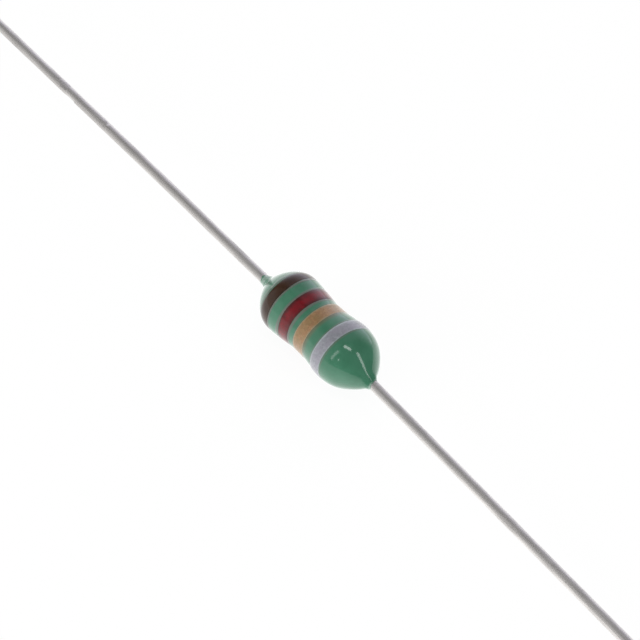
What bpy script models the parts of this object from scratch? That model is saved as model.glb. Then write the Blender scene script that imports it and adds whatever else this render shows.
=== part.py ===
"""An axial-lead inductor: a wound ferrite core in a dipped epoxy coat with four colour bands.

The part lies on its side on the ground plane. Its long axis is X, the rounder end of the coat
faces -X and the longer cone faces +X. The origin is on the ground under the middle of the core.
The near lead leaves the cone off centre and slopes down, and that is how the part comes to rest:
with the bent lead lowest. All lengths are in metres.
"""

import math

import bmesh
import bpy
from mathutils import Vector

MM = 0.001

# Clearance that neighbouring pieces keep: the part is 4 mm thick, so it is a hair's breadth
FIT = 0.015 * MM

# Winding: one layer of enamelled wire on the post
WIRE_DIAMETER = 0.26 * MM
TURNS = 12
TURN_PITCH = 0.30 * MM
TURN_SPACE = 0.20 * MM
WRAPS_ON_LEAD = 1.25
WRAP_PITCH = 0.29 * MM
ARM_ROOM = 0.02 * MM

# Drum core: a post between two flanges
POST_RADIUS = 1.20 * MM
FLANGE_RADIUS = 1.70 * MM
FLANGE_THICKNESS = 1.00 * MM
FLANGE_CHAMFER = 0.08 * MM
NOTCH_SIDE_ROOM = 0.15 * MM
LEAD_HOLE_DEPTH = 1.30 * MM

# Leads and what holds them
LEAD_DIAMETER = 0.65 * MM
LEAD_TO_LEAD = 71.0 * MM
CEMENT_THICKNESS = 0.065 * MM
SOLDER_WALL = 0.16 * MM
SOLDER_FILLET = 0.45 * MM

# Epoxy coat
COAT_ON_FLANGE = 0.355 * MM
COAT_ON_WINDING = 0.337 * MM
WAIST_OFFSET = 0.31 * MM
WAIST_POWER = 2.1
DOME_LENGTH = 2.00 * MM
DOME_POWER = 1.07
CONE_LENGTH = 2.73 * MM
CONE_POWER = 1.20
COLLAR_THICKNESS = 0.085 * MM
COLLAR_TAPER_DOME = 0.25
COLLAR_TAPER_CONE = 0.40
COLLAR_REACH_DOME = 2.20 * MM
COLLAR_REACH_CONE = 2.75 * MM
COLLAR_GROWTH = 1.5
COLLAR_BLEND = 6.0
LIP_RIM = 0.3
LIP_SHOULDER = 0.75

# The near lead is drawn aside inside the cone, then runs straight on a slope
ASIDE_Y = -0.107 * MM
ASIDE_Z = -0.160 * MM
ASIDE_START = 0.15 * MM
ASIDE_LENGTH = 2.35 * MM
SLOPE_Y = -0.003
SLOPE_Z = -0.048

# The coat hangs on round the core's axis longer than the lead does, then follows the lead
COAT_ASIDE_START = 1.07 * MM
COAT_ASIDE_LENGTH = 1.60 * MM

# Bands of paint, which were rolled on a little askew: each leans towards +X on one side.
# For each: name, distance of its middle from the nearer bulge's middle, width, colour
BAND_THICKNESS = 0.015 * MM
BAND_LEAN = 0.094 * MM
BAND_LEAN_ANGLE = math.radians(55)
BANDS_BY_DOME = (
    ("band_brown", -0.175 * MM, 0.84 * MM, (0.052, 0.026, 0.014)),
    ("band_red", 1.59 * MM, 0.92 * MM, (0.160, 0.007, 0.011)),
)
BANDS_BY_CONE = (
    ("band_gold", -2.005 * MM, 1.01 * MM, (0.430, 0.250, 0.115)),
    ("band_silver", -0.125 * MM, 0.91 * MM, (0.400, 0.410, 0.475)),
)

# Facets
STEPS = 40
SMALL_STEPS = 24
TURN_STEPS = 16
LEAD_BEVEL_STEPS = 6
WIRE_BEVEL_STEPS = 2
BORE_STEPS = 10
FILLET_STEPS = 4
END_POINTS = 9
MIDDLE_POINTS = 8
BAND_POINTS = 3

# Worked out from the sizes above
WIRE_RADIUS = WIRE_DIAMETER / 2
LEAD_RADIUS = LEAD_DIAMETER / 2
TURN_CHORD = math.cos(math.pi / TURN_STEPS)
WINDING_RADIUS = (POST_RADIUS + FIT + WIRE_RADIUS) / TURN_CHORD
WINDING_OUTSIDE = WINDING_RADIUS + WIRE_RADIUS
WINDING_END = TURNS * TURN_PITCH / 2
POST_END = WINDING_END + TURN_SPACE
CORE_END = POST_END + FLANGE_THICKNESS
BULGE_X = POST_END + FLANGE_THICKNESS / 2
NOTCH_FLOOR = WINDING_RADIUS - 2 * FIT
NOTCH_WIRE_RADIUS = NOTCH_FLOOR + FIT + WIRE_RADIUS
ARM_X = CORE_END + 2 * FIT + WIRE_RADIUS + ARM_ROOM
ARM_SIDE = ARM_X + WIRE_RADIUS + FIT
WRAP_RADIUS = (LEAD_RADIUS + FIT + WIRE_RADIUS) / TURN_CHORD
WRAPS_END = ARM_SIDE + WRAPS_ON_LEAD * WRAP_PITCH
LEAD_HOLE_RADIUS = LEAD_RADIUS + CEMENT_THICKNESS + 3 * FIT
BULGE_RADIUS = FLANGE_RADIUS + FIT + COAT_ON_FLANGE
WAIST_RADIUS = WINDING_OUTSIDE + FIT + COAT_ON_WINDING
COLLAR_RADIUS = LEAD_RADIUS + COLLAR_THICKNESS
HALF_STEP = math.pi / STEPS
AXIS_HEIGHT = (BULGE_RADIUS + FIT + BAND_THICKNESS) * math.cos(HALF_STEP)


def clear_scene():
    for obj in list(bpy.data.objects):
        bpy.data.objects.remove(obj, do_unlink=True)


def new_collection(name):
    collection = bpy.data.collections.new(name)
    bpy.context.scene.collection.children.link(collection)
    return collection


def material(name, colour, roughness, metallic=0.0):
    made = bpy.data.materials.new(name)
    made.use_nodes = True
    shader = made.node_tree.nodes["Principled BSDF"]
    shader.inputs["Base Color"].default_value = (*colour, 1.0)
    shader.inputs["Roughness"].default_value = roughness
    shader.inputs["Metallic"].default_value = metallic
    made.diffuse_color = (*colour, 1.0)
    return made


def around(radius, steps):
    """The corner radius at which a turned piece's flats clear a cylinder of this radius."""
    return radius / math.cos(math.pi / steps)


def aside(x, start=CORE_END + ASIDE_START, length=ASIDE_LENGTH):
    """How far the near lead, and what is drawn with it, lies off the core's axis at x.

    A cubic leaves the axis with no slope and joins the straight run with the run's slope.
    """
    t = min(max((x - start) / length, 0.0), 1.0)
    ease = t * t * (3 - 2 * t)
    run = length * (t**3 - t**2) + max(x - start - length, 0.0)
    return Vector((0.0, ASIDE_Y * ease + SLOPE_Y * run, ASIDE_Z * ease + SLOPE_Z * run))


def turned(name, profile, collection, made_of, steps=STEPS, closed=True):
    """A profile of (x, radius) points turned about the core's axis with a Screw modifier.

    The profile's outer side runs towards +X. It is laid out backwards, because that is the way
    round in which a Screw about X faces outwards. It starts half a step from straight down, so
    that a flat faces the ground.
    """
    half = math.pi / steps
    mesh = bpy.data.meshes.new(name)
    points = [(x, r * math.sin(half), -r * math.cos(half)) for x, r in reversed(profile)]
    edges = [(i, i + 1) for i in range(len(points) - 1)]
    if closed:
        edges.append((len(points) - 1, 0))
    mesh.from_pydata(points, edges, [])
    obj = bpy.data.objects.new(name, mesh)
    obj.location = (0, 0, AXIS_HEIGHT)
    collection.objects.link(obj)
    mesh.materials.append(made_of)
    screw = obj.modifiers.new("Screw", "SCREW")
    screw.axis = "X"
    screw.angle = 2 * math.pi
    screw.steps = steps
    screw.render_steps = steps
    screw.use_merge_vertices = True
    screw.merge_threshold = 1e-7
    screw.use_smooth_shade = True
    return obj


def moved(obj, place):
    """Turns the object's modifiers into a mesh and puts each of its points where place() says."""
    graph = bpy.context.evaluated_depsgraph_get()
    mesh = bpy.data.meshes.new_from_object(obj.evaluated_get(graph))
    for vertex in mesh.vertices:
        vertex.co = place(vertex.co.copy())
    obj.modifiers.clear()
    obj.data = mesh
    mesh.set_sharp_from_angle(angle=math.radians(40))


def wire(name, points, radius, bevel_resolution, collection, made_of):
    """A round wire along straight pieces between points, with flat closed ends."""
    curve = bpy.data.curves.new(name, "CURVE")
    curve.dimensions = "3D"
    curve.bevel_depth = radius
    curve.bevel_resolution = bevel_resolution
    curve.use_fill_caps = True
    spline = curve.splines.new("POLY")
    spline.points.add(len(points) - 1)
    for target, point in zip(spline.points, points):
        target.co = (*point, 1.0)
    spline.use_smooth = True
    curve.materials.append(made_of)
    obj = bpy.data.objects.new(name, curve)
    obj.location = (0, 0, AXIS_HEIGHT)
    collection.objects.link(obj)
    return obj


def mirrored(profile):
    return [(-x, r) for x, r in reversed(profile)]


def notch_cutter(name, side, collection):
    """A box that cuts the wire's notch through one flange, open at the top and at both faces."""
    width = WIRE_DIAMETER + 2 * NOTCH_SIDE_ROOM
    past = FLANGE_THICKNESS / 10
    length = FLANGE_THICKNESS + 2 * past
    height = FLANGE_RADIUS
    mesh = bpy.data.meshes.new(name)
    shape = bmesh.new()
    bmesh.ops.create_cube(shape, size=1.0)
    bmesh.ops.scale(shape, vec=(length, width, height), verts=shape.verts)
    shape.to_mesh(mesh)
    shape.free()
    cutter = bpy.data.objects.new(name, mesh)
    cutter.location = (side * BULGE_X, 0, AXIS_HEIGHT + NOTCH_FLOOR + height / 2)
    cutter.display_type = "WIRE"
    cutter.hide_render = True
    collection.objects.link(cutter)
    return cutter


def make_drum_core(parts, cutters):
    """The ferrite dumbbell: half of its outline, mirrored, then a notch cut in each flange."""
    half = [
        (POST_END, POST_RADIUS),
        (POST_END, FLANGE_RADIUS - FLANGE_CHAMFER),
        (POST_END + FLANGE_CHAMFER, FLANGE_RADIUS),
        (CORE_END - FLANGE_CHAMFER, FLANGE_RADIUS),
        (CORE_END, FLANGE_RADIUS - FLANGE_CHAMFER),
        (CORE_END, LEAD_HOLE_RADIUS),
        (CORE_END - LEAD_HOLE_DEPTH, LEAD_HOLE_RADIUS),
        (CORE_END - LEAD_HOLE_DEPTH, 0.0),
    ]
    ferrite = material("ferrite", (0.028, 0.028, 0.030), 0.55)
    core = turned("drum_core", mirrored(half) + half, parts, ferrite, closed=False)
    for name, side in (("notch_a", -1), ("notch_b", 1)):
        cut = core.modifiers.new(name, "BOOLEAN")
        cut.operation = "DIFFERENCE"
        cut.object = notch_cutter(name, side, cutters)


def smooth_route(keys, pieces):
    """Points on a Catmull-Rom curve through the keys, from the second key to the last but one."""
    route = []
    for before, start, end, after in zip(keys, keys[1:], keys[2:], keys[3:]):
        for k in range(pieces):
            t = k / pieces
            route.append(
                0.5
                * (
                    2 * start
                    + (end - before) * t
                    + (2 * before - 5 * start + 4 * end - after) * t**2
                    + (3 * start - before - 3 * end + after) * t**3
                )
            )
    route.append(keys[-2])
    return route


def on_ring(x, radius, angle):
    """A point at this angle from straight up, round the core's axis."""
    return Vector((x, radius * math.sin(angle), radius * math.cos(angle)))


def winding_tail():
    """The wire's near end: out of the last turn, through the notch, in to the lead and round it."""
    turn = 2 * math.pi
    rise = NOTCH_WIRE_RADIUS - WINDING_RADIUS
    arm_foot = (NOTCH_WIRE_RADIUS + WRAP_RADIUS) / 2
    tangent = math.acos(WRAP_RADIUS / arm_foot)
    steps = round(WRAPS_ON_LEAD * TURN_STEPS)
    wraps = [
        on_ring(ARM_X + WRAP_PITCH * k / TURN_STEPS, WRAP_RADIUS, tangent + turn * k / TURN_STEPS)
        for k in range(steps + 1)
    ]
    keys = [
        on_ring(WINDING_END - 2 * TURN_PITCH / TURN_STEPS, WINDING_RADIUS, -2 * turn / TURN_STEPS),
        on_ring(WINDING_END - TURN_PITCH / TURN_STEPS, WINDING_RADIUS, -turn / TURN_STEPS),
        on_ring(WINDING_END + 0.2 * TURN_SPACE, WINDING_RADIUS + 0.3 * rise, math.radians(-7)),
        on_ring(WINDING_END + 0.7 * TURN_SPACE, WINDING_RADIUS + 0.9 * rise, math.radians(-1)),
        on_ring(POST_END + 0.6 * WIRE_DIAMETER, NOTCH_WIRE_RADIUS, 0),
        on_ring(CORE_END - 0.2 * WIRE_DIAMETER, NOTCH_WIRE_RADIUS, 0),
        on_ring(ARM_X - 0.24 * WIRE_DIAMETER, NOTCH_WIRE_RADIUS - 0.2 * WIRE_DIAMETER, 0),
        on_ring(ARM_X, NOTCH_WIRE_RADIUS - 0.85 * WIRE_DIAMETER, 0),
        on_ring(ARM_X, arm_foot, 0),
        wraps[0],
        wraps[1],
    ]
    return smooth_route(keys, 3) + wraps[1:]


def make_winding(parts):
    """A helix on the post with the same tail at both ends, turned half round about the upright."""
    tail = winding_tail()
    far_tail = [Vector((-p.x, -p.y, p.z)) for p in reversed(tail)]
    near_tail = [p + aside(p.x) for p in tail]
    helix = [
        on_ring(
            TURN_PITCH * k / TURN_STEPS - WINDING_END,
            WINDING_RADIUS,
            2 * math.pi * k / TURN_STEPS,
        )
        for k in range(2, TURNS * TURN_STEPS - 1)
    ]
    copper = material("enamelled_copper", (0.42, 0.13, 0.045), 0.30, 0.6)
    wire("winding", far_tail + helix + near_tail, WIRE_RADIUS, WIRE_BEVEL_STEPS, parts, copper)


def lead_stations():
    """Where the near lead's route has points between the core and its straight run."""
    start = CORE_END + ASIDE_START
    return [start + ASIDE_LENGTH * k / BORE_STEPS for k in range(BORE_STEPS + 1)]


def make_leads(parts):
    """Tinned copper wires whose inner ends stand in the core's blind holes."""
    tinned = material("tinned_copper", (0.740, 0.725, 0.715), 0.28, 1.0)
    inner_end = CORE_END - LEAD_HOLE_DEPTH + CEMENT_THICKNESS + 2 * FIT
    outer_end = LEAD_TO_LEAD / 2
    straight = [Vector((-outer_end, 0, 0)), Vector((-inner_end, 0, 0))]
    wire("lead_wire_a", straight, LEAD_RADIUS, LEAD_BEVEL_STEPS, parts, tinned)
    stations = [inner_end] + lead_stations() + [outer_end]
    bent = [Vector((x, 0, 0)) + aside(x) for x in stations]
    wire("lead_wire_b", bent, LEAD_RADIUS, LEAD_BEVEL_STEPS, parts, tinned)


def make_cement(parts):
    """A thin cup of adhesive between each lead and its blind hole."""
    adhesive = material("cement", (0.50, 0.42, 0.26), 0.5)
    inside = around(LEAD_RADIUS + FIT, SMALL_STEPS)
    outside = inside + CEMENT_THICKNESS
    floor = CORE_END - LEAD_HOLE_DEPTH + FIT
    cup = [
        (floor, 0.0),
        (floor, outside),
        (CORE_END, outside),
        (CORE_END, inside),
        (floor + CEMENT_THICKNESS, inside),
        (floor + CEMENT_THICKNESS, 0.0),
    ]
    turned("lead_cement_b", cup, parts, adhesive, SMALL_STEPS, closed=False)
    turned("lead_cement_a", mirrored(cup), parts, adhesive, SMALL_STEPS, closed=False)


def solder_outside():
    """The solder cap's outside, from its rim over the wraps down a fillet to the lead."""
    wall = around(WRAP_RADIUS + WIRE_RADIUS + FIT, SMALL_STEPS) + SOLDER_WALL
    shoulder = WRAPS_END + SOLDER_WALL / 2
    outside = [(ARM_SIDE + FIT, wall)]
    for k in range(FILLET_STEPS + 1):
        angle = math.pi / 2 * k / FILLET_STEPS
        fall = (wall - LEAD_RADIUS - 3 * FIT) * math.sin(angle)
        outside.append((shoulder + SOLDER_FILLET * (1 - math.cos(angle)), wall - fall))
    return outside


def solder_profile():
    """Solder shaped as a cap over the wraps: open at the flange, and run out along the lead."""
    bore = around(LEAD_RADIUS + FIT, SMALL_STEPS)
    inside = around(WRAP_RADIUS + WIRE_RADIUS + FIT, SMALL_STEPS)
    outside = solder_outside()
    tip = outside[-1][0]
    bore_line = [(x, bore) for x in reversed(lead_stations()) if WRAPS_END < x < tip]
    return [(outside[0][0], inside)] + outside + bore_line + [(WRAPS_END, bore), (WRAPS_END, inside)]


def make_solder(parts):
    solder = material("solder", (0.42, 0.42, 0.43), 0.35, 1.0)
    profile = solder_profile()
    turned("solder_joint_a", mirrored(profile), parts, solder, SMALL_STEPS)
    joint = turned("solder_joint_b", profile, parts, solder, SMALL_STEPS)
    moved(joint, lambda point: point + aside(point.x))


def coat_radius(x):
    """The coat's outside: a power of a sine between the bulges, and a quarter cosine past each.

    Past a bulge the radius falls as the cosine of a quarter turn and blends into the collar,
    which is a film on the lead that gets thinner towards its end.
    """
    if -BULGE_X <= x <= BULGE_X:
        end = BULGE_X if x > WAIST_OFFSET else -BULGE_X
        share = (x - WAIST_OFFSET) / (end - WAIST_OFFSET)
        return WAIST_RADIUS + (BULGE_RADIUS - WAIST_RADIUS) * math.sin(math.pi / 2 * share) ** WAIST_POWER
    if x > 0:
        length, power = CONE_LENGTH, CONE_POWER
        collar = COLLAR_RADIUS + COLLAR_TAPER_CONE * max(CORE_END + COLLAR_REACH_CONE - x, 0.0)
    else:
        length, power = DOME_LENGTH, DOME_POWER
        collar = COLLAR_RADIUS + COLLAR_TAPER_DOME * max(CORE_END + COLLAR_REACH_DOME + x, 0.0)
    share = min((abs(x) - BULGE_X) / (CORE_END - BULGE_X + length), 1.0)
    fall = BULGE_RADIUS * max(math.cos(math.pi / 2 * share**power), 0.0)
    collar *= min(COLLAR_GROWTH * share, 1.0)
    return (fall**COLLAR_BLEND + collar**COLLAR_BLEND) ** (1 / COLLAR_BLEND)


def coat_outside():
    """Points along the coat's outside, closer together where it curves most."""
    dome_end = CORE_END + COLLAR_REACH_DOME
    cone_end = CORE_END + COLLAR_REACH_CONE
    lip = COLLAR_THICKNESS
    rim = LEAD_RADIUS + LIP_RIM * COLLAR_THICKNESS
    soft = LEAD_RADIUS + LIP_SHOULDER * COLLAR_THICKNESS
    xs = []
    for k in range(END_POINTS):
        share = math.sin(math.pi / 2 * (1 - k / END_POINTS))
        xs.append(-BULGE_X - (dome_end - lip - BULGE_X) * share)
    xs += [-BULGE_X + 2 * BULGE_X * k / MIDDLE_POINTS for k in range(MIDDLE_POINTS)]
    for k in range(END_POINTS + 1):
        share = math.sin(math.pi / 2 * k / END_POINTS)
        xs.append(BULGE_X + (cone_end - lip - BULGE_X) * share)
    outside = [(-dome_end, rim), (-dome_end + lip / 3, soft)]
    outside += [(x, coat_radius(x)) for x in xs]
    return outside + [(cone_end - lip / 3, soft), (cone_end, rim)]


def cavity_half(reach, stations):
    """Half of the coat's inside, from its middle outwards: winding, flange, arm, solder, bore."""
    over_flange = FLANGE_RADIUS + FIT
    arm_top = around(NOTCH_WIRE_RADIUS + WIRE_RADIUS, STEPS)
    bore = around(LEAD_RADIUS + FIT, STEPS)
    cap = [(x + FIT, around(r + FIT, STEPS)) for x, r in solder_outside()]
    half = [
        (WINDING_END - WIRE_RADIUS, around(WINDING_OUTSIDE + FIT, STEPS)),
        (POST_END - FIT, over_flange),
        (CORE_END + FIT, over_flange),
        (ARM_SIDE, arm_top),
        (ARM_SIDE, cap[0][1]),
    ]
    half += cap[1:]
    tip = cap[-1][0] + FIT
    half.append((tip, bore))
    half += [(x, bore) for x in stations if tip < x < reach]
    half.append((reach, bore))
    return half


def with_the_lead(point):
    """A point of the coat, drawn aside: the bore like the lead, the outside by its own curve."""
    on_outside = math.hypot(point.y, point.z) > (coat_radius(point.x) + LEAD_RADIUS) / 2
    if on_outside:
        return point + aside(point.x, CORE_END + COAT_ASIDE_START, COAT_ASIDE_LENGTH)
    return point + aside(point.x)


def make_coating(parts):
    """The dipped coat: one turned shell, its cone drawn aside with the near lead."""
    green = material("epoxy_green", (0.067, 0.207, 0.125), 0.14)
    dome_side = mirrored(cavity_half(CORE_END + COLLAR_REACH_DOME, []))
    cone_side = cavity_half(CORE_END + COLLAR_REACH_CONE, lead_stations())
    inside = list(reversed(dome_side + cone_side))
    moved(turned("epoxy_coating", coat_outside() + inside, parts, green), with_the_lead)


def lean_at(angle):
    """How far a band leans towards +X at this angle, counted from +Y towards +Z."""
    return BAND_LEAN * math.cos(angle - BAND_LEAN_ANGLE)


def askew(point):
    """A band's point moved to its leaning place, at the same height over the coat as before."""
    angle = math.atan2(point.z, point.y)
    height = math.hypot(point.y, point.z) - coat_radius(point.x)
    x = point.x + lean_at(angle)
    radius = coat_radius(x) + height
    return Vector((x, radius * math.cos(angle), radius * math.sin(angle)))


def make_band(name, bulge, offset, width, colour, parts):
    """A leaning ring of paint that keeps the coat's curve under it.

    On a bulge it has points where its lowest flat lies on the ground.
    """
    paint = material(name, colour, 0.35)
    start = bulge + offset - width / 2
    xs = [start + width * k / BAND_POINTS for k in range(BAND_POINTS + 1)]
    lowest = bulge - lean_at(-math.pi / 2)
    if start < lowest < start + width:
        xs = sorted(xs + [lowest])
    under = [(x, coat_radius(x) + FIT) for x in xs]
    over = [(x, r + BAND_THICKNESS) for x, r in reversed(under)]
    moved(turned(name, list(reversed(under + over)), parts, paint), askew)


def main():
    clear_scene()
    parts = new_collection("axial_inductor")
    cutters = new_collection("cutters")
    make_drum_core(parts, cutters)
    make_winding(parts)
    make_leads(parts)
    make_cement(parts)
    make_solder(parts)
    make_coating(parts)
    for name, offset, width, colour in BANDS_BY_DOME:
        make_band(name, -BULGE_X, offset, width, colour, parts)
    for name, offset, width, colour in BANDS_BY_CONE:
        make_band(name, BULGE_X, offset, width, colour, parts)


main()
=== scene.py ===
# %% [markdown]
# # An axial inductor, dipped in green epoxy
#
# The part is a few turns of enamelled wire on a small ferrite drum. A tinned copper lead is glued
# into each end of the drum and the wire's ends are soldered to the leads. The whole is then dipped
# in green epoxy, and four rings of paint give its value.
#
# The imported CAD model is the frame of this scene: it gives every size and place, in metres. Only
# the surfaces are new here, and each one lies where its CAD solid is.

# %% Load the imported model
import math

import bpy
import numpy as np
from mathutils import Matrix, Vector


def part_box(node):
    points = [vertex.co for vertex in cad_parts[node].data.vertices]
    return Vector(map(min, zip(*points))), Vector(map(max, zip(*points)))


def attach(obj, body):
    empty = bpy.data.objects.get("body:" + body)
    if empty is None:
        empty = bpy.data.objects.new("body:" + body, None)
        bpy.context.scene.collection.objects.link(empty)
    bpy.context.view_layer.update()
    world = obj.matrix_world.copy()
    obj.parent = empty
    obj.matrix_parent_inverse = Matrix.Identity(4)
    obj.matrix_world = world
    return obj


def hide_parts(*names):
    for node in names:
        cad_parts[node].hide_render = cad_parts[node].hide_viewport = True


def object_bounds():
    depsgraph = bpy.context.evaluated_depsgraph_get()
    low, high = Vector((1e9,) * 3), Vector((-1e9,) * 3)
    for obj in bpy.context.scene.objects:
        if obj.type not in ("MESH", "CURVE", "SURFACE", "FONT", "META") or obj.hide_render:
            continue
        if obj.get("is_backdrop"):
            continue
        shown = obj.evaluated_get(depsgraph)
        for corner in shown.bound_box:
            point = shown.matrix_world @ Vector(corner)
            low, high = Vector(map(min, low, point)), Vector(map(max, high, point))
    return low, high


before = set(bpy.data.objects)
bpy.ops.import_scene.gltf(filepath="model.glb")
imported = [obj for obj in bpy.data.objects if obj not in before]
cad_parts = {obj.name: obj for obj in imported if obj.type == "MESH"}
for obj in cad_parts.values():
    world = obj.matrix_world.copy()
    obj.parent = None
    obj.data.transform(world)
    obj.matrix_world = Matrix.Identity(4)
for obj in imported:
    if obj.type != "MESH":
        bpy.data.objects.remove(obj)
cad_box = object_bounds()
MM = 0.001  # metres in a millimetre: shapes are worked out in millimetres


def node_box(name):
    """A CAD node's lowest and highest corners, in millimetres."""
    low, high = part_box(name)
    return np.array(low) / MM, np.array(high) / MM


for node in sorted(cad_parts):
    low, high = node_box(node)
    print(f"{node}: from {np.round(low, 3)} to {np.round(high, 3)} mm")

# %% [markdown]
# ## The sizes that the surfaces share
#
# Most sizes are read off the boxes of the CAD nodes, so they follow the model. A box can't tell how
# the coat is shaped between its ends, so the few numbers of its curve are given here. They are
# those of the CAD source, but for the collars, which are a little finer here.

# %% Sizes, in millimetres
wire_low, wire_high = node_box("lead_wire_a")
coat_low, coat_high = node_box("epoxy_coating")
core_high = node_box("drum_core")[1]
solder_low, solder_high = node_box("solder_joint_a")

AXIS_HEIGHT = (wire_low[2] + wire_high[2]) / 2
LEAD_RADIUS = (wire_high[1] - wire_low[1]) / 2
CORE_END = core_high[0]
FLANGE_RADIUS = core_high[1]

BULGE_X = 2.5  # how far each bulge of the coat is from the middle
BULGE_RADIUS = 2.07
WAIST_RADIUS = 1.853
WAIST_OFFSET, WAIST_POWER = 0.31, 2.1
DOME_LENGTH, DOME_POWER = 2.00, 1.07
CONE_LENGTH, CONE_POWER = 2.73, 1.20
DOME_COLLAR, DOME_COLLAR_TAPER = 0.390, 0.25  # radius at the collar's end, and growth per mm
CONE_COLLAR, CONE_COLLAR_TAPER = 0.403, 0.40
COLLAR_GROWTH, COLLAR_BLEND = 1.5, 9.0  # how soon the collar comes in, and how sharp its corner is
BAND_LEAN, BAND_LEAN_ANGLE = 0.094, math.radians(55)  # how the rings of paint lie askew
FACETS = 40  # flats round the CAD coat: its flats lie this much inside its corners
FLAT = math.cos(math.pi / FACETS)

print(f"axis {AXIS_HEIGHT:.3f} mm up, leads {2 * LEAD_RADIUS:.2f} mm thick, core ends at {CORE_END:.2f} mm")

# %% [markdown]
# ## The camera
#
# The photograph looks down at the part from its near right, about 48 degrees up. The angle, the
# distance and the lens were found by fitting the outline, the bands' curves and both leads.

# %% Camera
VIEW_AZIMUTH, VIEW_ELEVATION = math.radians(-38.2), math.radians(48.4)
VIEW_DISTANCE = 203 * MM
VIEW_TARGET = Vector((0.27, -0.004, 3.038)) * MM
LENS, SENSOR_WIDTH = 188.4, 36  # in millimetres

level = math.cos(VIEW_ELEVATION)
to_camera = Vector((level * math.cos(VIEW_AZIMUTH), level * math.sin(VIEW_AZIMUTH), math.sin(VIEW_ELEVATION)))
camera = bpy.data.objects.new("camera", bpy.data.cameras.new("camera"))
camera.data.sensor_width = SENSOR_WIDTH
camera.data.lens = LENS
camera.data.clip_start = 10 * MM
camera.location = VIEW_TARGET + VIEW_DISTANCE * to_camera
camera.rotation_euler = to_camera.to_track_quat("Z", "Y").to_euler()
scene = bpy.context.scene
scene.collection.objects.link(camera)
scene.camera = camera
scene.view_settings.view_transform = "Standard"
print("camera at", [round(c / MM, 1) for c in camera.location], "mm")

# %% [markdown]
# ## Building shader nodes
#
# Every finish is made of nodes, so a few small helpers keep the code short. The first adds a node
# with its settings and its inputs, where an input is a plain number or another node's output. The
# next ones add the nodes that come up most. The last two start a group, which is an effect that
# several materials share, and give a point's place in millimetres.

# %% Helpers for shader nodes
def add(tree, kind, inputs=None, **settings):
    """Adds a node: settings are its own properties, inputs are numbers or other nodes' outputs."""
    node = tree.nodes.new(kind)
    for name, value in settings.items():
        setattr(node, name, value)
    for name, value in (inputs or {}).items():
        if isinstance(value, bpy.types.NodeSocket):
            tree.links.new(value, node.inputs[name])
        else:
            node.inputs[name].default_value = value
    return node


def math_of(tree, operation, first, second=0.0, clamp=False):
    """The output of one Math node."""
    node = add(tree, "ShaderNodeMath", {0: first, 1: second}, operation=operation, use_clamp=clamp)
    return node.outputs[0]


def stretched(tree, place, factors):
    """A place with each of its three parts times its own factor."""
    return add(tree, "ShaderNodeVectorMath", {0: place, 1: factors}, operation="MULTIPLY").outputs[0]


def dot(tree, first, second):
    """The dot product of two vectors: how far the first reaches along the second."""
    node = add(tree, "ShaderNodeVectorMath", {0: first, 1: second}, operation="DOT_PRODUCT")
    return node.outputs["Value"]


def mapped(tree, value, low, high, to_low=0.0, to_high=1.0, smooth=True):
    """A value moved from one range to another and held inside it."""
    inputs = {"Value": value, "From Min": low, "From Max": high, "To Min": to_low, "To Max": to_high}
    kind = "SMOOTHSTEP" if smooth else "LINEAR"
    return add(tree, "ShaderNodeMapRange", inputs, interpolation_type=kind).outputs["Result"]


def between(tree, share, first, second):
    """Two numbers mixed by a share from 0 to 1."""
    return add(tree, "ShaderNodeMix", {"Factor": share, "A": first, "B": second}).outputs[0]


def mixed(tree, share, first, second):
    """Two colours mixed by a share from 0 to 1."""
    node = add(tree, "ShaderNodeMix", {"Factor": share}, data_type="RGBA")
    for index, value in ((6, first), (7, second)):
        if isinstance(value, bpy.types.NodeSocket):
            tree.links.new(value, node.inputs[index])
        else:
            node.inputs[index].default_value = (*value, 1.0)
    return node.outputs[2]


def noise(tree, place, scale, detail):
    """Smooth noise from 0 to 1, with this many blobs to a unit of place and this much fine detail."""
    inputs = {"Vector": place, "Scale": scale, "Detail": detail}
    return add(tree, "ShaderNodeTexNoise", inputs).outputs[0]


def attribute(tree, name):
    """A number that a surface holds at each of its points."""
    return add(tree, "ShaderNodeAttribute", attribute_name=name).outputs["Fac"]


def new_group(name, inputs, outputs):
    """An empty group: inputs are {name: default}, outputs are names of sockets."""
    tree = bpy.data.node_groups.new(name, "ShaderNodeTree")
    print("group", name)
    for label, default in inputs.items():
        socket = tree.interface.new_socket(label, in_out="INPUT", socket_type="NodeSocketFloat")
        socket.default_value = default
    for label in outputs:
        tree.interface.new_socket(label, in_out="OUTPUT", socket_type="NodeSocketFloat")
    return tree, tree.nodes.new("NodeGroupInput").outputs, tree.nodes.new("NodeGroupOutput").inputs


def millimetres(tree):
    """The point on the surface in millimetres, from the object's own coordinates in metres."""
    place = add(tree, "ShaderNodeTexCoord").outputs["Object"]
    return add(tree, "ShaderNodeVectorMath", {0: place, "Scale": 1 / MM}, operation="SCALE").outputs[0]


# %% [markdown]
# ## Floor and backdrop
#
# The real one lies on a white sheet that is lit until it is blank, so it shows almost no shadow.
# Here the floor is a plain white sheet too. The camera and reflections see it mostly as a flat
# white, with a little of its shaded paint mixed in, so that a faint shadow still ties the part to
# the ground. The rest of the light sees white paint with a weaker glow, as from a lit table.

# %% Floor
FLOOR_HALF = 1500.0  # half the sheet's width, in millimetres
WHITE_SHARE = 0.90  # how much of what the camera and reflections see is flat white
OTHER_SHARE = 0.5  # and how much of what all other light meets
SEEN = 1.045  # the sheet's light for the camera, which makes up for the shaded paint in the mix
MIRRORED = 1.50  # the sheet's light in reflections: it is lit brighter than the picture can show
GLOW = 0.92  # the sheet's own light for everything else
# On two sides reflections see the sheet fade: (side, from this far out, to this far, to this share).
SHEET_FADES = (math.radians(258), -2.0, 11.0, 0.54), (math.radians(55), 8.0, 26.0, 0.70)
SHEET_COLOUR = (0.88, 0.88, 0.88, 1)

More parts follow.
